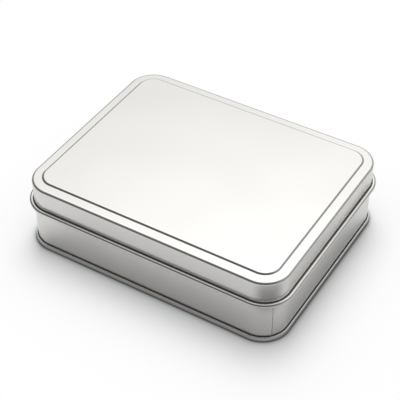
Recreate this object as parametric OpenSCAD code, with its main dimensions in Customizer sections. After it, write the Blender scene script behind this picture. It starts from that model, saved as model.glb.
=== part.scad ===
// Rectangular tinplate card game tin with a hinged lid.
// The lid is drawn from one sheet: a flat top with a raised panel, a skirt and an outward rolled edge.
// The body is a strip bent to a rounded rectangle and lapped at one corner, with a rolled-in rim and
// a neck that lets the skirt swing past. The bottom is joined to it by a flattened double seam.
// A wire in the lid's rear roll runs through two straps on the back wall and is the hinge pin.
// A thin moulded tray with two wells for cards stands loose inside.
// X runs along the long front side, Y to the back, Z up. The origin is on the ground, in the middle.

/* [Overall size] */
// Length of the lid skirt, left to right
tin_l = 140; // [110:1:200]
// Width of the lid skirt, front to back
tin_w = 110; // [80:1:160]
// Height from the ground to the raised panel of the lid
tin_h = 38.35; // [30:0.05:70]
// Corner radius of the lid skirt, seen from above
corner_r = 13.5; // [12:0.5:20]
// Thickness of the tinplate
sheet_t = 0.25; // [0.2:0.01:0.3]

/* [Lid] */
// Distance from the top of the lid panel to the top of the rolled edge
skirt_h = 12.85; // [10:0.05:18]
// Outer radius of the bend between skirt and top
shoulder_r = 1.3; // [1:0.1:2.5]
// Distance from the skirt in to the start of the raised panel
panel_inset = 4.8; // [4:0.1:7]
// Height of the raised panel over the flat ring round it
panel_rise = 0.9; // [0.3:0.05:1]
// Width of the rounded step up to the raised panel
panel_slope = 1.4; // [1.2:0.05:1.8]
// How far round the rolled edge is turned, from the skirt
roll_turn = 300; // [240:5:310]

/* [Body] */
// Distance of the body wall in from the lid skirt
wall_inset = 0.2; // [0.1:0.05:0.4]
// Gap between the lid skirt and the neck of the body
neck_gap = 0.85; // [0.8:0.05:1.2]
// Drop from the lid's rolled edge to the start of the neck
neck_drop = 0.3; // [0.2:0.05:1]
// Height of the sloping step below the neck
neck_slope = 1; // [0.8:0.1:2]
// Gap between the rolled-in rim and the underside of the lid
rim_gap = 0.25; // [0.15:0.05:0.5]
// Outer radius of the rolled-in rim
rim_r = 0.8; // [0.6:0.05:1]
// How far round the rim is rolled
rim_turn = 290; // [240:5:300]
// Width of the lapped side seam, measured round the corner
lap_w = 1.4; // [1:0.1:3]
// How far the side seam stands out from the wall
lap_t = 0.12; // [0.08:0.01:0.2]
// Direction of the side seam on its corner, from the right
lap_angle = -44; // [-75:1:-15]

/* [Bottom seam] */
// Height of the bottom seam
seam_h = 2.7; // [2.4:0.1:4]
// How far the bottom seam stands out from the body wall
seam_w = 1.05; // [1.05:0.01:1.3]
// Radius of the seam's lower edges
seam_r = 0.4; // [0.35:0.01:0.45]
// Gap between the layers of the seam
seam_gap = 0.04; // [0.02:0.01:0.05]
// Height of the raised middle of the bottom
base_rise = 0.4; // [0.2:0.05:0.6]
// Width of the rounded step up to the raised middle of the bottom
base_slope = 0.8; // [0.7:0.05:1.2]
// Distance from the skirt in to the start of that step
base_inset = 7.5; // [5:0.5:9]

/* [Hinge] */
// Diameter of the hinge wire
wire_d = 1.8; // [1.4:0.05:2]
// Running gap round the wire
wire_gap = 0.05; // [0.03:0.01:0.08]
// Length of the hinge wire
wire_l = 96; // [80:1:106]
// Thickness of the hinge straps
strap_t = 0.3; // [0.25:0.05:0.4]
// Width of each hinge strap
strap_w = 10; // [6:0.5:16]
// Distance between the middles of the two straps
strap_span = 70; // [50:1:80]
// Length of strap that lies on the back wall
strap_leg = 8; // [5:0.5:12]
// Gap round a strap in its notch in the lid
notch_gap = 0.5; // [0.3:0.05:1]
// Height of the notch over the eye of the strap
notch_over = 0.3; // [0.2:0.05:0.45]
// How far the stop nose stands out from the hinge axis
nose_reach = 2.1; // [2.05:0.05:2.5]
// Height of the folded stop nose
nose_h = 0.55; // [0.4:0.05:0.8]
// Opening angle of the lid
open_angle = 105; // [95:1:110]
// Diameter of the spot welds in the straps
weld_d = 2; // [1.5:0.1:3]
// Depth of the spot welds
weld_depth = 0.1; // [0.05:0.01:0.15]

/* [Card tray] */
// Wall thickness of the tray
tray_t = 0.8; // [0.6:0.1:1.2]
// Gap between the tray and the rolled-in rim
tray_gap = 0.5; // [0.3:0.1:1]
// Drop from the top of the rim to the top of the tray
tray_drop = 1; // [0.5:0.1:3]
// Thickness of the wall between the two wells
divider_t = 1.6; // [1.6:0.1:4]
// Corner radius of the wells
well_r = 6; // [4:0.5:7]
// Distance from the tray's edge to each end of a well
well_margin = 4.3; // [4.3:0.1:8]
// Radius of the finger recesses
finger_r = 12; // [8:0.5:16]
// Depth of the lip round the tray's edge
tray_lip = 4; // [2:0.5:8]

/* [Hidden] */
// How far past the solid a cut runs
cut = 0.5;
// Degrees past the open position at which the nose stops the lid
stop_over = 3;
// Straight pieces in each rounded step of the sheet
step_parts = 6;

// The rolled edge is wound round the wire, with the axis this far out from the skirt
roll_ri = wire_d / 2 + wire_gap;
roll_ro = roll_ri + sheet_t;
roll_top = tin_h - skirt_h;
axis_z = roll_top - roll_ro;
axis_y = tin_w / 2 + roll_ri;

// Flat ring of the lid
ring_top = tin_h - panel_rise;
slope_in = panel_inset + panel_slope;

// Body wall, below and above the step
neck_inset = sheet_t + neck_gap;
neck_z = axis_z - roll_ro - neck_drop;
step_z = neck_z - neck_slope;
rim_top = ring_top - sheet_t - rim_gap;
rim_z = rim_top - rim_r;
rim_inset = neck_inset + 2 * rim_r;
lap_sweep = lap_w / (corner_r - wall_inset) * 180 / PI;

// Layers of the bottom seam, as distances out from the lid skirt
seam_x = seam_w - wall_inset;
chuck_x = -wall_inset - sheet_t - seam_gap - sheet_t;
hook_x = seam_x - sheet_t - seam_gap;
cover_x = hook_x - sheet_t - seam_gap;
hook_z = sheet_t + seam_gap;
hook_r = seam_r - seam_gap;
fold_r = (seam_x - cover_x + sheet_t) / 2;
base_z = seam_h - sheet_t;
floor_z = base_z + base_rise;

// Hinge straps
eye_ro = roll_ri + strap_t;
notch_top = axis_z + eye_ro + notch_over;
stop_angle = open_angle + stop_over;
nose_top = (roll_ri + nose_reach * cos(stop_angle)) / sin(stop_angle);

// Tray and its wells
tray_l = tin_l - 2 * (rim_inset + tray_gap);
tray_w = tin_w - 2 * (rim_inset + tray_gap);
tray_r = corner_r - rim_inset - tray_gap;
tray_top = rim_top - tray_drop;
well_l = (tray_l - 2 * tray_t - divider_t) / 2;
well_w = tray_w - 2 * well_margin;
well_x = (well_l + divider_t) / 2;
finger_y = tray_w / 2 - 2 * tray_t - finger_r;

tin_colour = "silver";
wire_colour = "gray";
tray_colour = "dimgray";

$fn = 48;

// A rounded rectangle of size l by w
module rounded(l, w, r) {
    union() {
        square([l - 2 * r, w], center = true);
        square([l, w - 2 * r], center = true);
        for (sx = [-1, 1], sy = [-1, 1])
            translate([sx * (l / 2 - r), sy * (w / 2 - r)]) circle(r);
    }
}

// A flat rounded plate with its lower face at z
module plate(l, w, r, z, h) {
    translate([0, 0, z]) linear_extrude(height = h) rounded(l, w, r);
}

// A profile carried all round the tin: x is measured out from the lid skirt, y is the height
module around() {
    for (i = [0:3]) {
        run = i % 2 == 0 ? tin_w : tin_l;
        across = i % 2 == 0 ? tin_l : tin_w;
        rotate(90 * i) {
            translate([across / 2, 0, 0]) rotate([90, 0, 0])
                linear_extrude(height = run - 2 * corner_r, center = true) children();
            translate([across / 2 - corner_r, run / 2 - corner_r, 0])
                rotate_extrude(angle = 90) translate([corner_r, 0]) children();
        }
    }
}

// A bent piece of sheet: a ring of outer radius r and thickness t, from angle a over the sweep
module bend(x, z, r, t, a, sweep) {
    reach = 2 * r;
    translate([x, z]) intersection() {
        difference() {
            circle(r);
            circle(r - t);
        }
        for (part = [0:90:sweep - 1]) {
            width = min(90, sweep - part);
            polygon([
                [0, 0],
                reach * [cos(a + part), sin(a + part)],
                reach * [cos(a + part + width / 2), sin(a + part + width / 2)],
                reach * [cos(a + part + width), sin(a + part + width)]
            ]);
        }
    }
}

// A straight piece of sheet in a profile
module strip(x0, x1, z0, z1) {
    translate([x0, z0]) square([x1 - x0, z1 - z0]);
}

// A rounded step in the sheet, which rises inwards from height z at x along half a cosine wave
module step(x, z, run, rise) {
    function wave(i) = [x - run * i / step_parts, z + rise * (1 - cos(180 * i / step_parts)) / 2];
    upper = [for (i = [0:step_parts]) wave(i)];
    lower = [for (i = [step_parts:-1:0]) wave(i) - [0, sheet_t]];
    polygon(concat(upper, lower));
}

// Lid from the raised panel's edge out over the shoulder, down the skirt and round the roll
module lid_profile() {
    step(-panel_inset, ring_top, panel_slope, panel_rise);
    strip(-panel_inset, -shoulder_r, ring_top - sheet_t, ring_top);
    bend(-shoulder_r, ring_top - shoulder_r, shoulder_r, sheet_t, 0, 90);
    strip(-sheet_t, 0, axis_z, ring_top - shoulder_r);
    bend(roll_ri, axis_z, roll_ro, sheet_t, 180, roll_turn);
}

// The two places along the hinge, left and right
module at_straps() {
    for (side = [-1, 1]) translate([side * strap_span / 2, 0, 0]) children();
}

module lid_shell() {
    notch_w = strap_w + 2 * notch_gap;
    notch_bottom = axis_z - roll_ro - cut;
    color(tin_colour) difference() {
        union() {
            around() lid_profile();
            plate(tin_l - 2 * slope_in, tin_w - 2 * slope_in, corner_r - slope_in,
                  tin_h - sheet_t, sheet_t);
        }
        at_straps()
            translate([-notch_w / 2, tin_w / 2 - sheet_t - cut, notch_bottom])
                cube([notch_w, sheet_t + roll_ri + roll_ro + 2 * cut, notch_top - notch_bottom]);
    }
}

module hinge_wire() {
    color(wire_colour)
        translate([0, axis_y, axis_z]) rotate([0, 90, 0])
            cylinder(h = wire_l, d = wire_d, center = true);
}

// Body wall from the hook of the bottom seam up over the neck to the rolled-in rim
module wall_profile() {
    wall_x = -wall_inset;
    neck_x = -neck_inset;
    strip(hook_x - sheet_t, hook_x, hook_z + hook_r, seam_h - sheet_t - 3 * seam_gap - hook_z);
    bend(hook_x - hook_r, hook_z + hook_r, hook_r, sheet_t, 270, 90);
    strip(wall_x - sheet_t + hook_r, hook_x - hook_r, hook_z, hook_z + sheet_t);
    bend(wall_x - sheet_t + hook_r, hook_z + hook_r, hook_r, sheet_t, 180, 90);
    strip(wall_x - sheet_t, wall_x, hook_z + hook_r, step_z);
    polygon([
        [wall_x - sheet_t, step_z],
        [wall_x, step_z],
        [neck_x, neck_z],
        [neck_x - sheet_t, neck_z]
    ]);
    strip(neck_x - sheet_t, neck_x, neck_z, rim_z);
    bend(neck_x - rim_r, rim_z, rim_r, sheet_t, 0, rim_turn);
}

module body_wall() {
    color(tin_colour) union() {
        around() wall_profile();
        translate([tin_l / 2 - corner_r, corner_r - tin_w / 2, 0])
            rotate([0, 0, lap_angle - lap_sweep / 2]) rotate_extrude(angle = lap_sweep)
                translate([corner_r, 0])
                    strip(-wall_inset - sheet_t / 2, lap_t - wall_inset, seam_h, step_z);
    }
}

// Bottom from its raised middle out, down the inside of the wall, under it and up round its hook
module base_profile() {
    step(-base_inset, base_z, base_slope, base_rise);
    strip(-base_inset, chuck_x, base_z - sheet_t, base_z);
    strip(chuck_x, chuck_x + sheet_t, seam_r, base_z);
    bend(chuck_x + seam_r, seam_r, seam_r, sheet_t, 180, 90);
    strip(chuck_x + seam_r, seam_x - seam_r, 0, sheet_t);
    bend(seam_x - seam_r, seam_r, seam_r, sheet_t, 270, 90);
    strip(seam_x - sheet_t, seam_x, seam_r, seam_h - fold_r);
    bend(seam_x - fold_r, seam_h - fold_r, fold_r, sheet_t, 0, 180);
    strip(cover_x - sheet_t, cover_x, hook_z + hook_r + seam_gap, seam_h - fold_r);
}

module base_plate() {
    middle_in = base_inset + base_slope;
    color(tin_colour) union() {
        around() base_profile();
        plate(tin_l - 2 * middle_in, tin_w - 2 * middle_in, corner_r - middle_in,
              floor_z - sheet_t, sheet_t);
    }
}

// Strap from the back wall up round the wire, with the fold that stops the lid
module strap_profile() {
    leg_top = axis_z - sqrt(roll_ri * roll_ri - pow(roll_ri + wall_inset - strap_t, 2));
    difference() {
        union() {
            translate([roll_ri, axis_z]) circle(eye_ro);
            strip(-wall_inset, strap_t - wall_inset, step_z - strap_leg, leg_top);
            strip(roll_ri, roll_ri + nose_reach, axis_z + nose_top - nose_h, axis_z + nose_top);
        }
        translate([roll_ri, axis_z]) circle(roll_ri);
    }
}

module hinge_strap(side) {
    color(tin_colour) translate([side * strap_span / 2, tin_w / 2, 0]) difference() {
        rotate([90, 0, 90]) linear_extrude(height = strap_w, center = true) strap_profile();
        for (end = [-1, 1])
            translate([end * strap_w / 4, strap_t - wall_inset - weld_depth, step_z - strap_leg / 2])
                rotate([-90, 0, 0]) cylinder(h = weld_depth + cut, d = weld_d);
    }
}

module hinge_strap_left() {
    hinge_strap(-1);
}

module hinge_strap_right() {
    hinge_strap(1);
}

// One finger recess at each end of a well, as an outline widened by extra
module finger_outline(extra) {
    for (end = [-1, 1]) translate([0, end * finger_y]) circle(finger_r + extra);
}

module card_tray() {
    color(tray_colour) difference() {
        union() {
            plate(tray_l, tray_w, tray_r, tray_top - tray_t, tray_t);
            difference() {
                plate(tray_l, tray_w, tray_r, tray_top - tray_lip, tray_lip);
                plate(tray_l - 2 * tray_t, tray_w - 2 * tray_t, tray_r - tray_t,
                      tray_top - tray_lip - cut, tray_lip + 2 * cut);
            }
            for (side = [-1, 1]) translate([side * well_x, 0, 0]) {
                plate(well_l + 2 * tray_t, well_w + 2 * tray_t, well_r + tray_t,
                      floor_z, tray_top - floor_z);
                translate([0, 0, floor_z]) linear_extrude(height = tray_top - floor_z)
                    finger_outline(tray_t);
            }
        }
        for (side = [-1, 1]) translate([side * well_x, 0, 0]) {
            plate(well_l, well_w, well_r, floor_z + tray_t, tray_top - floor_z);
            translate([0, 0, floor_z + tray_t]) linear_extrude(height = tray_top - floor_z)
                finger_outline(0);
        }
    }
}

lid_shell();
hinge_wire();
body_wall();
base_plate();
hinge_strap_left();
hinge_strap_right();
card_tray();
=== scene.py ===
"""Looks of a hinged card game tin: pressed tinplate, a steel hinge wire and a moulded tray."""

import logging
import math
from dataclasses import dataclass, field
from enum import Enum
from typing import Any, Sequence

import bmesh
import bpy
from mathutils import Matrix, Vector


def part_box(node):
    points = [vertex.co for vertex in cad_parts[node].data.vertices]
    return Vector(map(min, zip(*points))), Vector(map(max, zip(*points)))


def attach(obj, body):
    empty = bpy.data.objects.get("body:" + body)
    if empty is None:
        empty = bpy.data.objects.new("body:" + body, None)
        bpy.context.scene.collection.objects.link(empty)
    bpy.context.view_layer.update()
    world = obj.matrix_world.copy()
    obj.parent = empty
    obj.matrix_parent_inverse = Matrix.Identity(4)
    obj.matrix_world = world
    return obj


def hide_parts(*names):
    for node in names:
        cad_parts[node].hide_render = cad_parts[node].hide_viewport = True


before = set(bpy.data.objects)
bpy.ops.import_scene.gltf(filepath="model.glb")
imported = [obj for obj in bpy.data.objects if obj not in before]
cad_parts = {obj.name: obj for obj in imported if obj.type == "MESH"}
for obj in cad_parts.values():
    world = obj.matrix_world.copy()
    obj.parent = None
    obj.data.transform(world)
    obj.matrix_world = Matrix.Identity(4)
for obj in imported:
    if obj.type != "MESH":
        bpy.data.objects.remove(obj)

MM = 0.001
LOG = logging.getLogger("tin")
WELD = 0.001 * MM
DENT_SEGMENTS = 40
DENT_RINGS = 20
SOCKET_KINDS = {bool: "Bool", int: "Int", float: "Float", tuple: "Vector"}

Tree = bpy.types.NodeTree
Socket = bpy.types.NodeSocket
Piece = bpy.types.Object
Material = bpy.types.Material
Point = tuple[float, float]
Triple = tuple[float, float, float]
Colour = Triple
WHITE: Colour = (1.0, 1.0, 1.0)


class Body(str, Enum):
    """The bodies that pieces ride on."""

    TIN = "body"
    LID = "lid"


class Slot(str, Enum):
    """The material slots of the record."""

    TINPLATE = "tinplate"
    WIRE = "steel_wire"
    TRAY = "tray_plastic"


# Sizes


@dataclass(frozen=True)
class TinSizes:
    """Sizes that the pieces share, in metres.

    Distances named from the skirt are measured out from the outer face of the lid's skirt.
    """

    sheet: float = 0.25 * MM
    corner_r: float = 13.5 * MM
    wall_inset: float = 0.2 * MM
    panel_rise: float = 0.9 * MM
    seam_h: float = 2.7 * MM
    seam_w: float = 1.05 * MM
    seam_r: float = 0.4 * MM
    seam_gap: float = 0.04 * MM
    strap_sheet: float = 0.3 * MM
    strap_span: float = 70.0 * MM
    wire_gap: float = 0.05 * MM
    neck_drop: float = 0.3 * MM
    neck_slope: float = 1.0 * MM
    wire_r: float = 0.0
    axis_y: float = 0.0
    axis_z: float = 0.0
    length: float = 0.0
    width: float = 0.0
    height: float = 0.0
    wire_half: float = 0.0

    @classmethod
    def from_frame(cls) -> "TinSizes":
        """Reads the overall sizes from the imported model.

        Returns:
            The shared sizes.
        """
        low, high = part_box("hinge_wire")
        wire_r = (high.z - low.z) / 2
        axis = (low + high) / 2
        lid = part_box("lid_shell")[1]
        reach = 2 * (wire_r + cls.wire_gap) + cls.sheet
        return cls(
            wire_r=wire_r,
            axis_y=axis.y,
            axis_z=axis.z,
            length=2 * (lid.x - reach),
            width=2 * (axis.y - wire_r - cls.wire_gap),
            height=lid.z,
            wire_half=high.x,
        )

    @property
    def roll_ri(self) -> float:
        """Inner radius of the lid's rolled edge."""
        return self.wire_r + self.wire_gap

    @property
    def roll_ro(self) -> float:
        """Outer radius of the lid's rolled edge."""
        return self.roll_ri + self.sheet

    @property
    def neck_z(self) -> float:
        """Height of the top of the step below the neck."""
        return self.axis_z - self.roll_ro - self.neck_drop

    @property
    def step_z(self) -> float:
        """Height of the foot of the step below the neck."""
        return self.neck_z - self.neck_slope


# Bent sheet


class SheetLine:
    """The middle line of a bent sheet in section, drawn as it runs straight and bends.

    The first coordinate of a point is the distance out from the lid's skirt, the second the height.
    """

    SUPPORT = 0.05 * MM
    BEND_STEP = 9.0

    def __init__(self, x: float, z: float, heading: float) -> None:
        """Starts the line at a point.

        Args:
            x: Distance out.
            z: Height.
            heading: Direction in degrees, 0 outwards and 90 upwards.
        """
        self.marks: list[tuple[float, float, float]] = [(x, z, heading)]

    @property
    def end(self) -> tuple[float, float, float]:
        """The last point and the direction there."""
        return self.marks[-1]

    def straight(self, length: float) -> "SheetLine":
        """Runs straight on, with a point close to each end that keeps the flat flat.

        Args:
            length: Length of the straight.

        Returns:
            The line itself.
        """
        x, z, heading = self.end
        turn = math.radians(heading)
        near = min(self.SUPPORT, length / 3)
        for reach in (near, length - near, length):
            self.marks.append((x + reach * math.cos(turn), z + reach * math.sin(turn), heading))
        return self

    def bend(self, radius: float, turn: float) -> "SheetLine":
        """Bends by an angle round a radius.

        Args:
            radius: Radius of the middle line.
            turn: Angle in degrees, positive to the left.

        Returns:
            The line itself.
        """
        x, z, heading = self.end
        side = math.copysign(90, turn)
        spoke = math.radians(heading + side)
        mid = (x + radius * math.cos(spoke), z + radius * math.sin(spoke))
        steps = max(3, round(abs(turn) / self.BEND_STEP))
        for i in range(1, steps + 1):
            way = heading + turn * i / steps
            spoke = math.radians(way - side)
            self.marks.append((mid[0] + radius * math.cos(spoke), mid[1] + radius * math.sin(spoke), way))
        return self

    def jog(self, run: float, rise: float) -> "SheetLine":
        """Bends one way and back, to end on a parallel line.

        Args:
            run: Distance gained along the heading.
            rise: Distance gained to the left, negative to the right.

        Returns:
            The line itself.
        """
        turn = 2 * math.atan2(abs(rise), run)
        radius = run / (2 * math.sin(turn))
        first = math.copysign(math.degrees(turn), rise)
        return self.bend(radius, first).bend(radius, -first)

    def skin(self, offset: float) -> list[Point]:
        """Gives the line moved sideways.

        Args:
            offset: Distance to the left.

        Returns:
            The points of the moved line.
        """
        return [
            (x - offset * math.sin(math.radians(way)), z + offset * math.cos(math.radians(way)))
            for x, z, way in self.marks
        ]

    def section(self, sheet: float) -> list[Point]:
        """Gives both faces of the sheet, the left one forwards and the right one back.

        Args:
            sheet: Thickness of the sheet.

        Returns:
            The points of the section.
        """
        return self.skin(sheet / 2) + self.skin(-sheet / 2)[::-1]


# Node trees for swept and cut sheet


def feed(tree: Tree, target: Socket, value: Any) -> None:
    """Links an input to a socket, or sets its value.

    Args:
        tree: The node tree.
        target: The input.
        value: An output socket, a node for its first output, or a plain value, a colour without alpha.
    """
    if isinstance(value, bpy.types.Node):
        value = value.outputs[0]
    if isinstance(value, Socket):
        tree.links.new(value, target)
    else:
        target.default_value = (*value, 1.0) if target.type == "RGBA" else value


def add_node(tree: Tree, kind: str, inputs: dict | None = None, **settings: Any) -> bpy.types.Node:
    """Adds a node, sets its properties and feeds its inputs.

    Args:
        tree: The node tree.
        kind: The node's type.
        inputs: Nodes, output sockets or plain values by the input's name or place.
        **settings: Property values.

    Returns:
        The new node.
    """
    node = tree.nodes.new(kind)
    for name, value in settings.items():
        setattr(node, name, value)
    for name, value in (inputs or {}).items():
        feed(tree, node.inputs[name], value)
    return node


def calc(tree: Tree, operation: str, *values: Any) -> Socket:
    """Adds a calculation with numbers.

    Args:
        tree: The node tree.
        operation: The operation.
        *values: Sockets or numbers, in the order of the inputs.

    Returns:
        The socket of the result.
    """
    return add_node(tree, "ShaderNodeMath", dict(enumerate(values)), operation=operation).outputs[0]


def vector_calc(tree: Tree, operation: str, *values: Any) -> Socket:
    """Adds a calculation with vectors.

    Args:
        tree: The node tree.
        operation: The operation.
        *values: Sockets or vectors, in the order of the inputs.

    Returns:
        The socket of the result, a number for a length or a dot product.
    """
    node = add_node(tree, "ShaderNodeVectorMath", dict(enumerate(values)), operation=operation)
    return node.outputs["Value" if operation in ("DOT_PRODUCT", "LENGTH") else "Vector"]


def new_tree(kind: str, name: str, inputs: dict[str, Any], outputs: dict[str, str]) -> tuple:
    """Starts a node tree.

    Args:
        kind: The tree's type.
        name: The tree's name.
        inputs: Default by input name, or the kind of socket where there is no default.
        outputs: Kind of socket by output name.

    Returns:
        The tree, the sockets of its inputs and those of its outputs.
    """
    tree = bpy.data.node_groups.new(name, kind)
    for label, value in inputs.items():
        sort = value if isinstance(value, str) else SOCKET_KINDS[type(value)]
        socket = tree.interface.new_socket(name=label, in_out="INPUT", socket_type="NodeSocket" + sort)
        if not isinstance(value, str):
            socket.default_value = value
    for label, sort in outputs.items():
        tree.interface.new_socket(name=label, in_out="OUTPUT", socket_type="NodeSocket" + sort)
    return tree, tree.nodes.new("NodeGroupInput").outputs, tree.nodes.new("NodeGroupOutput").inputs


def end_shape_tree(tree: Tree, start: Any, end: Any, shape: Any) -> Tree:
    """Ends a geometry tree in real geometry with its material.

    Args:
        tree: The tree.
        start: The sockets of its inputs.
        end: The sockets of its outputs.
        shape: What gives the shape.

    Returns:
        The tree.
    """
    real = add_node(tree, "GeometryNodeRealizeInstances", {0: shape})
    inputs = {"Geometry": real, "Material": start["Material"]}
    feed(tree, end["Geometry"], add_node(tree, "GeometryNodeSetMaterial", inputs))
    return tree


def swept_sheet_tree() -> Tree:
    """Carries a section round a rounded rectangle, and can close its inner edges with flat faces.

    Returns:
        The geometry tree.
    """
    tree, start, end = new_tree(
        "GeometryNodeTree",
        "sheet swept round the tin",
        {
            "Geometry": "Geometry",
            "Section": "Object",
            "Length": 0.14,
            "Width": 0.11,
            "Corner Radius": 0.0135,
            "Corner Steps": 32,
            "Close Panel": False,
            "Panel Top": 0.0,
            "Panel Bottom": 0.0,
            "Material": "Material",
        },
        {"Geometry": "Geometry"},
    )
    sides = {"Width": start["Length"], "Height": start["Width"]}
    outline = add_node(tree, "GeometryNodeCurvePrimitiveQuadrilateral", sides)
    bends = add_node(tree, "GeometryNodeCurveSplineType", {0: outline}, spline_type="BEZIER")
    corners = {"Curve": bends, "Radius": start["Corner Radius"]}
    fillet = add_node(tree, "GeometryNodeFilletCurve", corners, mode="BEZIER")
    steps = {"Geometry": fillet, "Resolution": start["Corner Steps"]}
    path = add_node(tree, "GeometryNodeSetSplineResolution", steps)
    section = add_node(tree, "GeometryNodeObjectInfo", {"Object": start["Section"]})
    lines = {"Curve": path, "Profile Curve": section.outputs["Geometry"]}
    sheet = add_node(tree, "GeometryNodeCurveToMesh", lines)
    faces = add_node(tree, "GeometryNodeInputMeshEdgeNeighbors")
    free = add_node(tree, "FunctionNodeCompare", {2: faces, 3: 1}, data_type="INT", operation="EQUAL")
    here = add_node(tree, "GeometryNodeInputPosition")
    height = add_node(tree, "ShaderNodeSeparateXYZ", {0: here}).outputs["Z"]
    mean = calc(tree, "MULTIPLY", calc(tree, "ADD", start["Panel Top"], start["Panel Bottom"]), 0.5)
    join = add_node(tree, "GeometryNodeJoinGeometry")
    for label, order in (("Panel Top", "GREATER_THAN"), ("Panel Bottom", "LESS_THAN")):
        side = {0: height, 1: mean}
        level = add_node(tree, "FunctionNodeCompare", side, data_type="FLOAT", operation=order)
        both = {0: free, 1: level}
        chosen = add_node(tree, "FunctionNodeBooleanMath", both, operation="AND")
        rim = add_node(tree, "GeometryNodeMeshToCurve", {"Mesh": sheet, "Selection": chosen})
        fill = add_node(tree, "GeometryNodeFillCurve", {0: rim}, mode="NGONS")
        up = add_node(tree, "ShaderNodeCombineXYZ", {"Z": start[label]})
        lift = {"Geometry": fill, "Offset": up}
        panel = add_node(tree, "GeometryNodeSetPosition", lift)
        if label == "Panel Bottom":
            panel = add_node(tree, "GeometryNodeFlipFaces", {"Mesh": panel})
        feed(tree, join.inputs[0], panel)
    feed(tree, join.inputs[0], sheet)
    merge = {"Geometry": join, "Distance": WELD}
    closed = add_node(tree, "GeometryNodeMergeByDistance", merge)
    choice = {"Switch": start["Close Panel"], "False": sheet, "True": closed}
    switch = add_node(tree, "GeometryNodeSwitch", choice, input_type="GEOMETRY")
    return end_shape_tree(tree, start, end, switch)


def cut_row_tree() -> Tree:
    """Cuts a row of notches along X, as boxes or as round dents.

    Returns:
        The geometry tree.
    """
    tree, start, end = new_tree(
        "GeometryNodeTree",
        "row of cuts",
        {
            "Geometry": "Geometry",
            "Count": 2,
            "Spacing": 0.07,
            "Middle": "Vector",
            "Size": "Vector",
            "Round": False,
            "Material": "Material",
        },
        {"Geometry": "Geometry"},
    )
    span = calc(tree, "MULTIPLY", calc(tree, "SUBTRACT", start["Count"], 1.0), start["Spacing"])
    shift = add_node(tree, "ShaderNodeCombineXYZ", {"X": calc(tree, "MULTIPLY", span, -0.5)})
    first = vector_calc(tree, "ADD", start["Middle"], shift)
    gap = add_node(tree, "ShaderNodeCombineXYZ", {"X": start["Spacing"]})
    spots = {"Count": start["Count"], "Start Location": first, "Offset": gap}
    row = add_node(tree, "GeometryNodeMeshLine", spots, mode="OFFSET")
    box = add_node(tree, "GeometryNodeMeshCube")
    round_form = {"Segments": DENT_SEGMENTS, "Rings": DENT_RINGS, "Radius": 0.5}
    ball = add_node(tree, "GeometryNodeMeshUVSphere", round_form)
    shape = {"Switch": start["Round"], "False": box, "True": ball}
    form = add_node(tree, "GeometryNodeSwitch", shape, input_type="GEOMETRY")
    tools = {"Points": row, "Instance": form, "Scale": start["Size"]}
    place = add_node(tree, "GeometryNodeInstanceOnPoints", tools)
    real = add_node(tree, "GeometryNodeRealizeInstances", {0: place})
    parts = {"Mesh 1": start["Geometry"], "Mesh 2": real}
    cut = add_node(tree, "GeometryNodeMeshBoolean", parts, operation="DIFFERENCE", solver="EXACT")
    return end_shape_tree(tree, start, end, cut.outputs["Mesh"])


def apply_tree(piece: Piece, tree: Tree, values: dict[str, Any]) -> None:
    """Runs a geometry tree on a piece and keeps the result as its plain mesh.

    Args:
        piece: The piece.
        tree: The geometry tree.
        values: Input values by input name.
    """
    modifier = piece.modifiers.new(tree.name, "NODES")
    modifier.node_group = tree
    for item in tree.interface.items_tree:
        if item.item_type == "SOCKET" and item.in_out == "INPUT" and item.name in values:
            modifier[item.identifier] = values[item.name]
    bake_modifiers(piece)


def bake_modifiers(piece: Piece) -> None:
    """Replaces a piece's mesh with its evaluated one and removes its modifiers.

    Args:
        piece: The piece.
    """
    view = bpy.context.evaluated_depsgraph_get()
    result = bpy.data.meshes.new_from_object(piece.evaluated_get(view))
    piece.modifiers.clear()
    old = piece.data
    piece.data = result
    result.name = piece.name
    bpy.data.meshes.remove(old)


def new_piece(name: str, data: bpy.types.ID | None = None) -> Piece:
    """Makes an object in the scene.

    Args:
        name: The object's name.
        data: Its mesh, curve, lamp or camera, or none for an empty mesh.

    Returns:
        The object.
    """
    piece = bpy.data.objects.new(name, data or bpy.data.meshes.new(name))
    bpy.context.scene.collection.objects.link(piece)
    return piece


def section_curve(name: str, points: Sequence[Point], closed: bool) -> Piece:
    """Makes the curve object that a sweep takes its section from.

    Args:
        name: The object's name.
        points: Points as distance out and height.
        closed: Whether the section is a closed outline.

    Returns:
        The curve object.
    """
    curve = bpy.data.curves.new(name, "CURVE")
    curve.dimensions = "3D"
    spline = curve.splines.new("POLY")
    spline.points.add(len(points) - 1)
    for point, (x, z) in zip(spline.points, points):
        point.co = (x, -z, 0.0, 1.0)
    spline.use_cyclic_u = closed
    return new_piece(name, curve)


def smooth(piece: Piece, sharp_from: float = 40.0) -> None:
    """Shades a piece smooth, with edges left sharp from an angle on.

    Args:
        piece: The piece.
        sharp_from: The angle in degrees.
    """
    mesh = piece.data
    mesh.polygons.foreach_set("use_smooth", [True] * len(mesh.polygons))
    mesh.set_sharp_from_angle(angle=math.radians(sharp_from))


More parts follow.
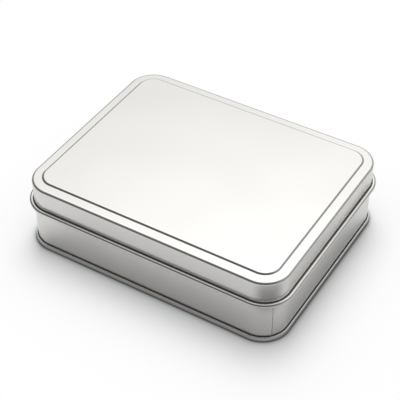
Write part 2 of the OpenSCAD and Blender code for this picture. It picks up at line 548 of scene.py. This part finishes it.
@dataclass
class Sweeper:
    """Sweeps sheet sections round the tin with one shared node tree."""

    tin: TinSizes
    corner_steps: int = 32
    tree: Tree = field(default_factory=swept_sheet_tree)

    def sweep(self, name: str, line: SheetLine, material: Material, closed_panel: bool = False) -> Piece:
        """Makes one swept sheet.

        Args:
            name: The piece's name.
            line: Middle line of the sheet; it starts at the panel where there is one.
            material: The piece's material.
            closed_panel: Whether the start of the line is closed to a flat panel.

        Returns:
            The piece.
        """
        tin, height = self.tin, line.marks[0][1]
        section = section_curve(name + "_section", line.section(tin.sheet), not closed_panel)
        piece = new_piece(name)
        values = {
            "Section": section,
            "Length": tin.length,
            "Width": tin.width,
            "Corner Radius": tin.corner_r,
            "Corner Steps": self.corner_steps,
            "Close Panel": closed_panel,
            "Panel Top": height + tin.sheet / 2,
            "Panel Bottom": height - tin.sheet / 2,
            "Material": material,
        }
        apply_tree(piece, self.tree, values)
        bpy.data.objects.remove(section)
        smooth(piece)
        return piece


def span_faces(mesh: bmesh.types.BMesh, low: list, high: list) -> list:
    """Joins two closed rows of corners by faces.

    Args:
        mesh: The mesh.
        low: The first row.
        high: The second row, corner by corner.

    Returns:
        The faces.
    """
    rows = zip(low, low[1:] + low[:1], high[1:] + high[:1], high)
    return [mesh.faces.new(corners) for corners in rows]


def solid(name: str, rings: Sequence[Sequence[tuple]]) -> Piece:
    """Makes a solid from rings of corners, with a face over the first and the last.

    Args:
        name: The piece's name.
        rings: Places of the corners, ring by ring.

    Returns:
        The piece.
    """
    mesh = bmesh.new()
    rows = [[mesh.verts.new(place) for place in ring] for ring in rings]
    for low, high in zip(rows, rows[1:]):
        span_faces(mesh, low, high)
    mesh.faces.new(rows[0])
    mesh.faces.new(rows[-1])
    bmesh.ops.recalc_face_normals(mesh, faces=mesh.faces)
    piece = new_piece(name)
    mesh.to_mesh(piece.data)
    mesh.free()
    return piece


def round_edges(piece: Piece, radius: float, parts: int, from_angle: float = 40.0) -> None:
    """Rounds the sharp edges of a piece, inside and outside corners alike.

    Args:
        piece: The piece.
        radius: Width of the rounding.
        parts: Faces across it.
        from_angle: The angle in degrees from which an edge counts as sharp.
    """
    bevel = piece.modifiers.new("rounded edges", "BEVEL")
    bevel.width = radius
    bevel.segments = parts
    bevel.limit_method = "ANGLE"
    bevel.angle_limit = math.radians(from_angle)
    bake_modifiers(piece)


def report(piece: Piece, body: Body, slot: Slot, *nodes: str) -> None:
    """Hands a finished piece to the frame and logs it.

    Args:
        piece: The piece.
        body: The body it moves with.
        slot: The record's material slot; not used.
        *nodes: The CAD nodes that it stands for.
    """
    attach(piece, body.value)
    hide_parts(*nodes)
    count = len(piece.data.polygons)
    LOG.info("%s: %d faces, rides on %s, stands for %s", piece.name, count, body.value, ", ".join(nodes))


# Sub-assemblies


@dataclass
class Lid:
    """The lid, drawn from one sheet, with its rear notches for the straps."""

    tin: TinSizes
    shoulder_r: float = 1.3 * MM
    panel_inset: float = 4.8 * MM
    panel_slope: float = 1.4 * MM
    panel_lead: float = 0.3 * MM
    roll_turn: float = 300.0
    notch_w: float = 11.0 * MM
    notch_over: float = 0.3 * MM
    cut: float = 0.5 * MM

    def line(self) -> SheetLine:
        """Draws the sheet from the panel's edge to the end of the rolled edge.

        Returns:
            The middle line.
        """
        tin, half = self.tin, self.tin.sheet / 2
        start = -self.panel_inset - self.panel_slope
        line = SheetLine(start - self.panel_lead, tin.height - half, 0.0)
        line.straight(self.panel_lead).jog(self.panel_slope, -tin.panel_rise)
        line.straight(-self.shoulder_r - line.end[0])
        line.bend(self.shoulder_r - half, -90)
        line.straight(line.end[1] - tin.axis_z)
        return line.bend(tin.roll_ro - half, self.roll_turn)

    def build(self, sweeper: Sweeper, cutter: Tree, metal: Material) -> None:
        """Builds the lid.

        Args:
            sweeper: The sweeper of sheet sections.
            cutter: The tree that cuts rows of notches.
            metal: The tinplate material.
        """
        tin = self.tin
        shell = sweeper.sweep("lid_skin", self.line(), metal, closed_panel=True)
        low = tin.axis_z - tin.roll_ro - self.cut
        high = tin.axis_z + tin.roll_ri + tin.strap_sheet + self.notch_over
        deep = tin.sheet + tin.roll_ri + tin.roll_ro + 2 * self.cut
        notches = {
            "Count": 2,
            "Spacing": tin.strap_span,
            "Middle": (0.0, tin.width / 2 - tin.sheet - self.cut + deep / 2, (low + high) / 2),
            "Size": (self.notch_w, deep, high - low),
            "Material": metal,
        }
        apply_tree(shell, cutter, notches)
        smooth(shell)
        report(shell, Body.LID, Slot.TINPLATE, "lid_shell")


@dataclass
class Wall:
    """The body wall: hook, wall, neck and rolled-in rim, lapped at one corner."""

    tin: TinSizes
    hook_top: float = 2.04 * MM
    neck_gap: float = 0.85 * MM
    neck_bend: float = 0.5 * MM
    rim_gap: float = 0.25 * MM
    rim_r: float = 0.8 * MM
    rim_turn: float = 290.0
    lap_w: float = 1.4 * MM
    lap_t: float = 0.12 * MM
    lap_sink: float = 0.1 * MM
    lap_angle: float = -44.0
    lap_parts: int = 14
    lap_rises: Sequence[float] = (0.0, 0.45, 0.85, 1.0)

    def line(self) -> SheetLine:
        """Draws the sheet from the hook in the bottom seam to the end of the rolled-in rim.

        Returns:
            The middle line.
        """
        tin, sheet, half = self.tin, self.tin.sheet, self.tin.sheet / 2
        hook_x = tin.seam_w - tin.wall_inset - sheet - tin.seam_gap
        hook_z = sheet + tin.seam_gap
        bend_r = tin.seam_r - tin.seam_gap - half
        wall_x = -tin.wall_inset - half
        neck_x = -sheet - self.neck_gap - half
        rim_z = tin.height - tin.panel_rise - sheet - self.rim_gap - self.rim_r
        low = hook_z + half + bend_r
        line = SheetLine(hook_x - half, self.hook_top, -90.0)
        line.straight(line.end[1] - low).bend(bend_r, -90)
        line.straight(line.end[0] - wall_x - bend_r).bend(bend_r, -90)
        lean = math.degrees(math.atan2(wall_x - neck_x, tin.neck_slope))
        tuck = self.neck_bend * math.tan(math.radians(lean / 2))
        slant = math.hypot(wall_x - neck_x, tin.neck_slope)
        line.straight(tin.step_z - tuck - line.end[1]).bend(self.neck_bend, lean)
        line.straight(slant - 2 * tuck).bend(self.neck_bend, -lean)
        line.straight(rim_z - line.end[1])
        return line.bend(self.rim_r - half, self.rim_turn)

    def build(self, sweeper: Sweeper, metal: Material, cut_metal: Material) -> None:
        """Builds the wall.

        Args:
            sweeper: The sweeper of sheet sections.
            metal: The tinplate material.
            cut_metal: The material of the sheet's cut edge.
        """
        shell = sweeper.sweep("wall_skin", self.line(), metal)
        shell.data.materials.append(cut_metal)
        self.add_lap(shell)
        smooth(shell)
        report(shell, Body.TIN, Slot.TINPLATE, "body_wall")

    def add_lap(self, shell: Piece) -> None:
        """Adds the lapped side seam, a thin raised strip up one corner.

        Args:
            shell: The wall piece that it becomes part of.
        """
        tin = self.tin
        radius = tin.corner_r - tin.wall_inset
        sweep = math.degrees(self.lap_w / radius)
        slope = len(self.lap_rises) - 1
        steps = range(self.lap_parts + 1)
        rise = [self.lap_rises[min(i, self.lap_parts - i, slope)] for i in steps]
        ring = [(i, radius + self.lap_t * rise[i]) for i in steps]
        ring += [(i, radius - self.lap_sink) for i in reversed(steps)]
        mesh = bmesh.new()
        mesh.from_mesh(shell.data)
        corners = []
        for i, reach in ring:
            way = math.radians(self.lap_angle + sweep * (i / self.lap_parts - 0.5))
            x = tin.length / 2 - tin.corner_r + reach * math.cos(way)
            y = tin.corner_r - tin.width / 2 + reach * math.sin(way)
            corners.append((x, y))
        low, high = ([mesh.verts.new((x, y, z)) for x, y in corners] for z in (tin.seam_h, tin.step_z))
        faces = span_faces(mesh, low, high)
        for face in faces[self.lap_parts - slope : self.lap_parts]:
            face.material_index = 1
        faces += [mesh.faces.new(low[::-1]), mesh.faces.new(high)]
        bmesh.ops.recalc_face_normals(mesh, faces=faces)
        mesh.to_mesh(shell.data)
        mesh.free()


@dataclass
class Base:
    """The bottom: a raised middle, the wall of the seam and its hook."""

    tin: TinSizes
    base_rise: float = 0.4 * MM
    base_slope: float = 0.8 * MM
    base_inset: float = 7.5 * MM
    chuck_bend: float = 0.35 * MM
    lead: float = 0.3 * MM

    def line(self) -> SheetLine:
        """Draws the sheet from the raised middle to the end of the cover hook.

        Returns:
            The middle line.
        """
        tin, sheet, half = self.tin, self.tin.sheet, self.tin.sheet / 2
        seam_x = tin.seam_w - tin.wall_inset
        chuck_x = -tin.wall_inset - sheet - tin.seam_gap - half
        cover_x = seam_x - 2 * (sheet + tin.seam_gap) - half
        fold_r = (seam_x - half - cover_x) / 2
        mid_r = tin.seam_r - half
        start = -self.base_inset - self.base_slope - self.lead
        line = SheetLine(start, tin.seam_h - sheet + self.base_rise - half, 0.0)
        line.straight(self.lead).jog(self.base_slope, -self.base_rise)
        line.straight(chuck_x - self.chuck_bend - line.end[0]).bend(self.chuck_bend, -90)
        line.straight(line.end[1] - tin.seam_r).bend(mid_r, 90)
        line.straight(seam_x - tin.seam_r - line.end[0]).bend(mid_r, 90)
        line.straight(tin.seam_h - fold_r - half - line.end[1]).bend(fold_r, 180)
        return line.straight(line.end[1] - tin.seam_gap - sheet - tin.seam_r)

    def build(self, sweeper: Sweeper, metal: Material) -> None:
        """Builds the bottom.

        Args:
            sweeper: The sweeper of sheet sections.
            metal: The tinplate material.
        """
        shell = sweeper.sweep("base_skin", self.line(), metal, closed_panel=True)
        report(shell, Body.TIN, Slot.TINPLATE, "base_plate")


@dataclass
class Straps:
    """The two hinge straps, each one strip round the wire, with a folded nose that stops the lid."""

    tin: TinSizes
    width: float = 10.0 * MM
    leg: float = 8.0 * MM
    leg_bend: float = 0.5 * MM
    nose_reach: float = 2.1 * MM
    nose_bend: float = 0.2 * MM
    nose_turn: float = 16.5
    tail_turn: float = 103.5
    edge_r: float = 0.06 * MM
    edge_parts: int = 2
    weld_d: float = 2.0 * MM
    weld_depth: float = 0.1 * MM

    def line(self) -> SheetLine:
        """Draws the strip from its lower end up round the wire, out to the nose and on round.

        Returns:
            The middle line.
        """
        tin, half = self.tin, self.tin.strap_sheet / 2
        ring_r = tin.roll_ri + half
        leg_x = half - tin.wall_inset
        tilt = math.acos((tin.roll_ri - leg_x + self.leg_bend) / (ring_r + self.leg_bend))
        bend_z = tin.axis_z - (ring_r + self.leg_bend) * math.sin(tilt)
        tilt = math.degrees(tilt)
        line = SheetLine(leg_x, tin.step_z - self.leg, 90.0)
        line.straight(bend_z - line.end[1]).bend(self.leg_bend, tilt)
        line.bend(ring_r, self.nose_turn - 180 - tilt)
        rise = math.sin(math.radians(self.nose_turn))
        fold_r = ring_r * rise - self.nose_bend * (1 - rise)
        line.bend(self.nose_bend, 90 - self.nose_turn)
        out = tin.roll_ri + self.nose_reach - half - fold_r - line.end[0]
        line.straight(out).bend(fold_r, -180).straight(out)
        return line.bend(self.nose_bend, 90 - self.nose_turn).bend(ring_r, -self.tail_turn)

    def build(self, cutter: Tree, metal: Material) -> None:
        """Builds both straps.

        Args:
            cutter: The tree that cuts rows of dents.
            metal: The tinplate material.
        """
        tin = self.tin
        outline = self.line().section(tin.strap_sheet)
        weld_y = tin.width / 2 - tin.wall_inset + tin.strap_sheet
        for name, side in (("left", -1), ("right", 1)):
            middle = side * tin.strap_span / 2
            ends = (middle - self.width / 2, middle + self.width / 2)
            rings = [[(x, tin.width / 2 + out, z) for out, z in outline] for x in ends]
            strap = solid(f"strap_{name}", rings)
            round_edges(strap, self.edge_r, self.edge_parts)
            welds = {
                "Count": 2,
                "Spacing": self.width / 2,
                "Middle": (middle, weld_y, tin.step_z - self.leg / 2),
                "Size": (self.weld_d, 2 * self.weld_depth, self.weld_d),
                "Round": True,
                "Material": metal,
            }
            apply_tree(strap, cutter, welds)
            smooth(strap)
            report(strap, Body.TIN, Slot.TINPLATE, f"hinge_strap_{name}")


@dataclass
class Wire:
    """The drawn hinge wire, with its cut ends rounded."""

    tin: TinSizes
    end_r: float = 0.3 * MM
    end_parts: int = 5
    sides: int = 56

    def build(self, steel: Material) -> None:
        """Builds the wire.

        Args:
            steel: The wire's material.
        """
        tin = self.tin
        turns = [math.radians(90 * i / self.end_parts) for i in range(self.end_parts + 1)]
        end = [(self.end_r * math.sin(t), tin.wire_r - self.end_r * (1 - math.cos(t))) for t in turns]
        reach = tin.wire_half - self.end_r
        profile = [(-reach - x, r) for x, r in reversed(end)] + [(reach + x, r) for x, r in end]
        ways = [math.radians(360 * i / self.sides) for i in range(self.sides)]
        rings = [
            [(x, tin.axis_y + r * math.cos(w), tin.axis_z + r * math.sin(w)) for w in ways]
            for x, r in profile
        ]
        wire = solid("wire_rod", rings)
        wire.data.materials.append(steel)
        smooth(wire)
        report(wire, Body.LID, Slot.WIRE, "hinge_wire")


@dataclass
class Tray:
    """The moulded tray, with the rounded edges and fillets that forming gives it."""

    tin: TinSizes
    edge_r: float = 0.3 * MM
    edge_parts: int = 3
    flat_angle: float = 0.3

    def build(self, plastic: Material) -> None:
        """Builds the tray.

        Args:
            plastic: The tray's material.
        """
        tray = new_piece("tray_moulding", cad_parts["card_tray"].data.copy())
        mesh = bmesh.new()
        mesh.from_mesh(tray.data)
        bmesh.ops.remove_doubles(mesh, verts=mesh.verts, dist=WELD)
        flat = math.radians(self.flat_angle)
        bmesh.ops.dissolve_limit(mesh, angle_limit=flat, verts=mesh.verts, edges=mesh.edges)
        mesh.to_mesh(tray.data)
        mesh.free()
        tray.data.materials.clear()
        tray.data.materials.append(plastic)
        round_edges(tray, self.edge_r, self.edge_parts)
        smooth(tray)
        report(tray, Body.TIN, Slot.TRAY, "card_tray")


# Finishes


def step(tree: Tree, value: Any, edges: Point, levels: Point = (0.0, 1.0), kind: str = "SMOOTHSTEP") -> Any:
    """Turns a value into a step from one level to another.

    Args:
        tree: The node tree.
        value: The value's socket.
        edges: Where the step starts and ends.
        levels: The result before and after it.
        kind: The shape of the step.

    Returns:
        The socket of the result.
    """
    names = ("From Min", "From Max", "To Min", "To Max")
    inputs = {"Value": value, **dict(zip(names, (*edges, *levels)))}
    return add_node(tree, "ShaderNodeMapRange", inputs, interpolation_type=kind).outputs["Result"]


def blend(tree: Tree, share: Any, first: Any, second: Any, kind: str = "MIX") -> Any:
    """Blends two colours.

    Args:
        tree: The node tree.
        share: Share of the second colour.
        first: The first colour or its socket.
        second: The second colour or its socket.
        kind: The way of blending.

    Returns:
        The socket of the colour.
    """
    inputs = {0: share, 6: first, 7: second}
    return add_node(tree, "ShaderNodeMix", inputs, data_type="RGBA", blend_type=kind).outputs[2]


def rolled_grain_group() -> Tree:
    """Fine lines that the rolling mill leaves in a sheet or the die in a wire.

    Returns:
        A group that turns a vector into a mask round 0.5.
    """
    inputs = {"Vector": "Vector", "Fineness": 900.0, "Stretch": (0.04, 1.0, 1.0)}
    tree, start, end = new_tree("ShaderNodeTree", "rolled grain", inputs, {"Mask": "Float"})
    stretched = vector_calc(tree, "MULTIPLY", start["Vector"], start["Stretch"])
    inputs = {"Vector": stretched, "Scale": start["Fineness"], "Detail": 3.0, "Roughness": 0.6}
    feed(tree, end["Mask"], add_node(tree, "ShaderNodeTexNoise", inputs).outputs["Fac"])
    return tree


def handling_group() -> Tree:
    """Soft cloudy marks that handling leaves on a surface.

    Returns:
        A group that turns a vector into a mask from 0 to 1.
    """
    level_uncovered, level_full = 0.95, 0.85
    inputs = {"Vector": "Vector", "Fineness": 30.0, "Cover": 0.8}
    tree, start, end = new_tree("ShaderNodeTree", "handling marks", inputs, {"Mask": "Float"})
    inputs = {"Vector": start["Vector"], "Scale": start["Fineness"], "Detail": 0.0}
    noise = add_node(tree, "ShaderNodeTexNoise", inputs).outputs["Fac"]
    low = calc(tree, "SUBTRACT", level_uncovered, start["Cover"])
    feed(tree, end["Mask"], step(tree, noise, (low, level_full)))
    return tree


@dataclass(frozen=True)
class Finish:
    """What the surfaces share: a clean and a worn colour, and a roughness with its spread."""

    name: str
    colour: Colour
    worn_colour: Colour
    roughness: float
    roughness_spread: float

    def start(self) -> tuple:
        """Starts the material.

        Returns:
            The material, its node tree, the inputs of its shader and the socket of the place on the piece.
        """
        material = bpy.data.materials.new(self.name)
        material.use_nodes = True
        tree = material.node_tree
        place = add_node(tree, "ShaderNodeTexCoord").outputs["Object"]
        return material, tree, tree.nodes["Principled BSDF"].inputs, place

    @property
    def levels(self) -> Point:
        """The lowest and the highest roughness."""
        return self.roughness - self.roughness_spread, self.roughness + self.roughness_spread


@dataclass(frozen=True)
class MetalFinish(Finish):
    """A bare metal surface with rolled grain, handling marks and painted shade in its crevices, near black
    where ambient occlusion finds them.
    """

    grain_fineness: float = 5000.0
    grain_stretch: Triple = (0.04, 1.0, 1.0)
    # Near-black colour, reach, threshold and samples of the painted shade that darkens the crevices
    crevice_shade_colour: Colour = (0.03, 0.028, 0.025)
    crevice_shade_reach: float = 0.55 * MM
    crevice_shade_open: Point = (0.2, 0.5)
    crevice_shade_samples: int = 12

    def material(self, grain: Tree, marks: Tree) -> Material:
        """Builds the material.

        Args:
            grain: The rolled grain group.
            marks: The handling marks group.

        Returns:
            The material.
        """
        material, tree, surface, place = self.start()
        inputs = {"Vector": place, "Fineness": self.grain_fineness, "Stretch": self.grain_stretch}
        lines = add_node(tree, "ShaderNodeGroup", inputs, node_tree=grain)
        haze = add_node(tree, "ShaderNodeGroup", {"Vector": place}, node_tree=marks)
        # Painted shade: ambient occlusion turns the colour near black in creases and tight corners; clean
        # is the unshaded share
        reach = {"Distance": self.crevice_shade_reach}
        hollow = add_node(tree, "ShaderNodeAmbientOcclusion", reach, samples=self.crevice_shade_samples)
        clean = step(tree, hollow.outputs["AO"], self.crevice_shade_open)
        colour = blend(tree, haze, self.colour, self.worn_colour)
        feed(tree, surface["Metallic"], 1.0)
        feed(tree, surface["Base Color"], blend(tree, clean, self.crevice_shade_colour, colour))
        both = calc(tree, "ADD", lines, haze)
        feed(tree, surface["Roughness"], step(tree, both, (0.0, 2.0), self.levels, "LINEAR"))
        return material


@dataclass(frozen=True)
class TrayFinish(Finish):
    """Thin black moulded plastic with a fine matt texture."""

    scuff_fineness: float = 120.0
    pebble_fineness: float = 2200.0
    pebble_depth: float = 0.02 * MM
    pebble_strength: float = 0.6

    def material(self, marks: Tree) -> Material:
        """Builds the material.

        Args:
            marks: The handling marks group.

        Returns:
            The material.
        """
        material, tree, surface, place = self.start()
        inputs = {"Vector": place, "Fineness": self.scuff_fineness}
        scuffs = add_node(tree, "ShaderNodeGroup", inputs, node_tree=marks)
        inputs = {"Vector": place, "Scale": self.pebble_fineness}
        pebble = add_node(tree, "ShaderNodeTexVoronoi", inputs)
        inputs = {"Distance": self.pebble_depth, "Strength": self.pebble_strength, "Height": pebble}
        feed(tree, surface["Base Color"], blend(tree, scuffs, self.colour, self.worn_colour))
        feed(tree, surface["Roughness"], step(tree, scuffs, (0.0, 1.0), self.levels, "LINEAR"))
        feed(tree, surface["Normal"], add_node(tree, "ShaderNodeBump", inputs))
        return material


# The tinplate's roughness stays under 0.27, above which the denoiser leaves ring-like marks in it
TINPLATE = MetalFinish(
    name="tinplate",
    colour=(0.66, 0.65, 0.628),
    worn_colour=(0.642, 0.632, 0.61),
    roughness=0.258,
    roughness_spread=0.013,
)
CUT_EDGE = MetalFinish(
    name="tinplate_cut_edge",
    colour=(0.20, 0.195, 0.185),
    worn_colour=(0.16, 0.15, 0.14),
    roughness=0.45,
    roughness_spread=0.05,
)
STEEL_WIRE = MetalFinish(
    name="steel_wire",
    colour=(0.55, 0.55, 0.54),
    worn_colour=(0.45, 0.45, 0.44),
    roughness=0.35,
    roughness_spread=0.05,
)
TRAY_PLASTIC = TrayFinish(
    name="tray_plastic",
    colour=(0.03, 0.03, 0.032),
    worn_colour=(0.05, 0.05, 0.052),
    roughness=0.5,
    roughness_spread=0.08,
)


# Studio


@dataclass
class Studio:
    """The floor, the lights, the backdrop and the camera."""

    azimuth: float = 31.221
    elevation: float = 41.832
    distance: float = 601.4 * MM
    shift_right: float = -2.05 * MM
    shift_up: float = 12.33 * MM
    lens: float = 106.57
    sensor: float = 36.0
    clip_near: float = 10 * MM
    floor_size: float = 6.0
    floor_drop: float = 0.02 * MM
    floor_colour: Colour = (0.94, 0.945, 0.96)
    fade_reach: float = 17 * MM
    # Painted contact shadow: a dark band on the floor along the tin's foot
    painted_contact_shadow_reach: float = 0.8 * MM
    painted_contact_shadow_colour: Colour = (0.12, 0.12, 0.12)
    seam_out: float = 0.85 * MM
    # Painted shadow on the floor before the tin's right corner, seen only in the metal's reflections
    painted_corner_shadow_edges: Point = (-14 * MM, 24 * MM)
    painted_corner_shadow_reach: float = 40 * MM
    painted_corner_shadow_stops: Sequence[float] = (0.0, 0.45, 0.55, 0.6, 0.75, 0.875, 1.0)
    painted_corner_shadow_levels: Sequence[float] = (1.0, 1.0, 0.2, 0.0, 0.0, 0.6, 1.0)
    # Painted light on the floor in front of the tin, a glow seen only in the metal's reflections
    painted_front_light: float = 0.09
    painted_light_front: Point = (-45 * MM, -62 * MM)
    painted_light_edges: Point = (2 * MM, 20 * MM)
    gloss_fade: Point = (50 * MM, 150 * MM)
    gloss_far: float = 0.4
    dome: float = 0.63
    box_toward: Triple = (-0.17, 0.42, 0.89)
    box_level: float = 2.25
    box_tightness: float = 6.0
    room_level: float = 0.1
    side_toward: Triple = (0.8, 0.6, 0.0)
    side_level: float = 0.4
    side_edge: Point = (0.3, 0.9)
    key_watts: float = 6.9
    key_size: float = 0.65
    key_place: Triple = (-0.30, 0.58, 0.95)

    def build(self, tin: TinSizes) -> None:
        """Builds everything round the tin.

        Args:
            tin: The shared sizes.
        """
        self.camera()
        self.floor(tin)
        self.world()
        self.key()
        bpy.context.scene.view_settings.view_transform = "Standard"

    def camera(self) -> None:
        """Places the camera at the photograph's angle."""
        turn, lift = math.radians(self.azimuth), math.radians(self.elevation)
        back = Vector((math.sin(turn) * math.cos(lift), -math.cos(turn) * math.cos(lift), math.sin(lift)))
        right = (-back).cross(Vector((0, 0, 1))).normalized()
        up = right.cross(-back)
        data = bpy.data.cameras.new("camera")
        data.lens = self.lens
        data.sensor_width = self.sensor
        data.clip_start = self.clip_near
        camera = new_piece("camera", data)
        camera.rotation_mode = "QUATERNION"
        camera.location = right * self.shift_right + up * self.shift_up + back * self.distance
        camera.rotation_quaternion = (-back).to_track_quat("-Z", "Y")
        bpy.context.scene.camera = camera

    def floor(self, tin: TinSizes) -> None:
        """Lays a pale floor that keeps the tin's shadow and fades to white away from it. It has a painted
        contact shadow along the tin's foot, and to metal it shows a painted shadow before the right corner
        and painted light in front.

        Args:
            tin: The shared sizes.
        """
        half = self.floor_size / 2
        mesh = bpy.data.meshes.new("floor")
        corners = [(-half, -half, 0), (half, -half, 0), (half, half, 0), (-half, half, 0)]
        mesh.from_pydata(corners, [], [(0, 1, 2, 3)])
        floor = new_piece("floor", mesh)
        floor.location.z = -self.floor_drop
        material = bpy.data.materials.new("floor")
        material.use_nodes = True
        mesh.materials.append(material)
        tree = material.node_tree
        tree.nodes.remove(tree.nodes["Principled BSDF"])
        place = add_node(tree, "ShaderNodeTexCoord").outputs["Object"]
        path = add_node(tree, "ShaderNodeLightPath").outputs
        middle = (tin.length / 2 - tin.corner_r, tin.width / 2 - tin.corner_r)
        beyond = vector_calc(tree, "SUBTRACT", vector_calc(tree, "ABSOLUTE", place), (*middle, 1.0))
        spoke = vector_calc(tree, "LENGTH", vector_calc(tree, "MAXIMUM", beyond, (0.0, 0.0, 0.0)))
        outside = calc(tree, "SUBTRACT", spoke, tin.corner_r + self.seam_out)
        reach = calc(tree, "MAXIMUM", outside, 0.0)
        # Painted contact shadow: the floor colour turns dark within about a millimetre of the tin's foot
        contact_shadow_share = calc(tree, "EXPONENT", calc(tree, "DIVIDE", reach, -self.painted_contact_shadow_reach))
        floor_with_contact_shadow = blend(tree, contact_shadow_share, self.floor_colour, self.painted_contact_shadow_colour)
        # card is painted shadow before the right corner, which darkens the floor for glossy rays only
        card = self.card(tree, place, reach, middle)
        shaded = blend(tree, path["Is Glossy Ray"], floor_with_contact_shadow, card, "MULTIPLY")
        paint = add_node(tree, "ShaderNodeBsdfDiffuse", {"Color": shaded})
        # lift is painted light: an emission on the floor in front of the tin that only glossy rays see
        lift, dim, white = (
            add_node(tree, "ShaderNodeEmission", {"Color": WHITE, "Strength": strength})
            for strength in (self.lift(tree, place, reach), self.gloss_far, 1.0)
        )
        lit = add_node(tree, "ShaderNodeAddShader", {0: paint, 1: lift})
        shiny = calc(tree, "MAXIMUM", path["Is Glossy Ray"], path["Is Transmission Ray"])
        to_metal = calc(tree, "MULTIPLY", shiny, step(tree, reach, self.gloss_fade))
        shade = add_node(tree, "ShaderNodeMixShader", {0: to_metal, 1: lit, 2: dim})
        left = calc(tree, "EXPONENT", calc(tree, "DIVIDE", reach, -self.fade_reach))
        to_eye = calc(tree, "MULTIPLY", path["Is Camera Ray"], calc(tree, "SUBTRACT", 1.0, left))
        look = add_node(tree, "ShaderNodeMixShader", {0: to_eye, 1: shade, 2: white})
        feed(tree, tree.nodes["Material Output"].inputs["Surface"], look)

    def lift(self, tree: Tree, place: Any, reach: Any) -> Socket:
        """Paints light onto the floor in front of the tin, a glow that only the metal's reflections see.

        Args:
            tree: The floor's node tree.
            place: Socket of the place on the floor.
            reach: Socket of the distance from the tin.

        Returns:
            The socket of the painted light's strength.
        """
        part = add_node(tree, "ShaderNodeSeparateXYZ", {0: place}).outputs
        ahead = step(tree, part["Y"], self.painted_light_front)
        apart = step(tree, reach, self.painted_light_edges)
        shiny = add_node(tree, "ShaderNodeLightPath").outputs["Is Glossy Ray"]
        metal = calc(tree, "MULTIPLY", calc(tree, "MULTIPLY", ahead, apart), shiny)
        return calc(tree, "MULTIPLY", metal, self.painted_front_light)

    def card(self, tree: Tree, place: Any, reach: Any, middle: Point) -> Any:
        """Paints shadow onto the floor in front of the tin's right corner, which only the metal's
        reflections show.

        Args:
            tree: The floor's node tree.
            place: Socket of the place on the floor.
            reach: Socket of the distance from the tin.
            middle: Middle of the corner's bend, without signs.

        Returns:
            The socket of the painted shadow.
        """
        part = add_node(tree, "ShaderNodeSeparateXYZ", {0: place}).outputs
        right = calc(tree, "SUBTRACT", part["X"], middle[0])
        front = calc(tree, "SUBTRACT", -middle[1], part["Y"])
        there = step(tree, calc(tree, "MINIMUM", right, front), self.painted_corner_shadow_edges)
        ramp = add_node(tree, "ShaderNodeValToRGB", {0: calc(tree, "DIVIDE", reach, self.painted_corner_shadow_reach)})
        stops = ramp.color_ramp.elements
        while len(stops) < len(self.painted_corner_shadow_stops):
            stops.new(0.5)
        for stop, at, level in zip(stops, self.painted_corner_shadow_stops, self.painted_corner_shadow_levels):
            stop.position = at
            stop.color = (level, level, level, 1.0)
        return blend(tree, there, WHITE, ramp.outputs["Color"])

    def world(self) -> None:
        """Makes the room round the tin: white to the eye, one large soft box in a darker room to metal."""
        world = bpy.data.worlds.new("studio")
        bpy.context.scene.world = world
        world.use_nodes = True
        tree = world.node_tree
        place = add_node(tree, "ShaderNodeTexCoord").outputs["Generated"]
        path = add_node(tree, "ShaderNodeLightPath").outputs
        toward = vector_calc(tree, "DOT_PRODUCT", place, Vector(self.box_toward).normalized())
        tight = calc(tree, "MULTIPLY", calc(tree, "SUBTRACT", toward, 1.0), self.box_tightness)
        beside = vector_calc(tree, "DOT_PRODUCT", place, self.side_toward)
        side = step(tree, beside, self.side_edge, (self.room_level, self.side_level))
        level = calc(tree, "MULTIPLY_ADD", calc(tree, "EXPONENT", tight), self.box_level, side)
        room, dome, white = (
            add_node(tree, "ShaderNodeBackground", {"Color": WHITE, "Strength": strength})
            for strength in (level, self.dome, 1.0)
        )
        shiny = add_node(tree, "ShaderNodeMixShader", {0: path["Is Glossy Ray"], 1: dome, 2: room})
        look = add_node(tree, "ShaderNodeMixShader", {0: path["Is Camera Ray"], 1: shiny, 2: white})
        feed(tree, tree.nodes["World Output"].inputs["Surface"], look)

    def key(self) -> None:
        """Hangs one large soft lamp above, to the back and left of the tin."""
        data = bpy.data.lights.new("key", "AREA")
        data.shape = "SQUARE"
        data.size = self.key_size
        data.energy = self.key_watts
        lamp = new_piece("key", data)
        lamp.location = self.key_place
        lamp.rotation_mode = "QUATERNION"
        lamp.rotation_quaternion = (-Vector(lamp.location)).to_track_quat("-Z", "Y")
        lamp.visible_glossy = False


def main() -> None:
    """Builds the tin's looks and the studio, and reports each piece."""
    logging.basicConfig(level=logging.INFO, format="%(name)s: %(message)s")
    bpy.context.view_layer.update()
    tin = TinSizes.from_frame()
    grain = rolled_grain_group()
    marks = handling_group()
    metal = TINPLATE.material(grain, marks)
    steel = STEEL_WIRE.material(grain, marks)
    plastic = TRAY_PLASTIC.material(marks)
    for name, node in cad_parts.items():
        node.data.materials[0] = {"hinge_wire": steel, "card_tray": plastic}.get(name, metal)
    sweeper = Sweeper(tin)
    cutter = cut_row_tree()
    Lid(tin).build(sweeper, cutter, metal)
    Wire(tin).build(steel)
    Wall(tin).build(sweeper, metal, CUT_EDGE.material(grain, marks))
    Base(tin).build(sweeper, metal)
    Straps(tin).build(cutter, metal)
    Tray(tin).build(plastic)
    Studio().build(tin)
    bpy.context.view_layer.update()


if __name__ == "__main__":
    main()
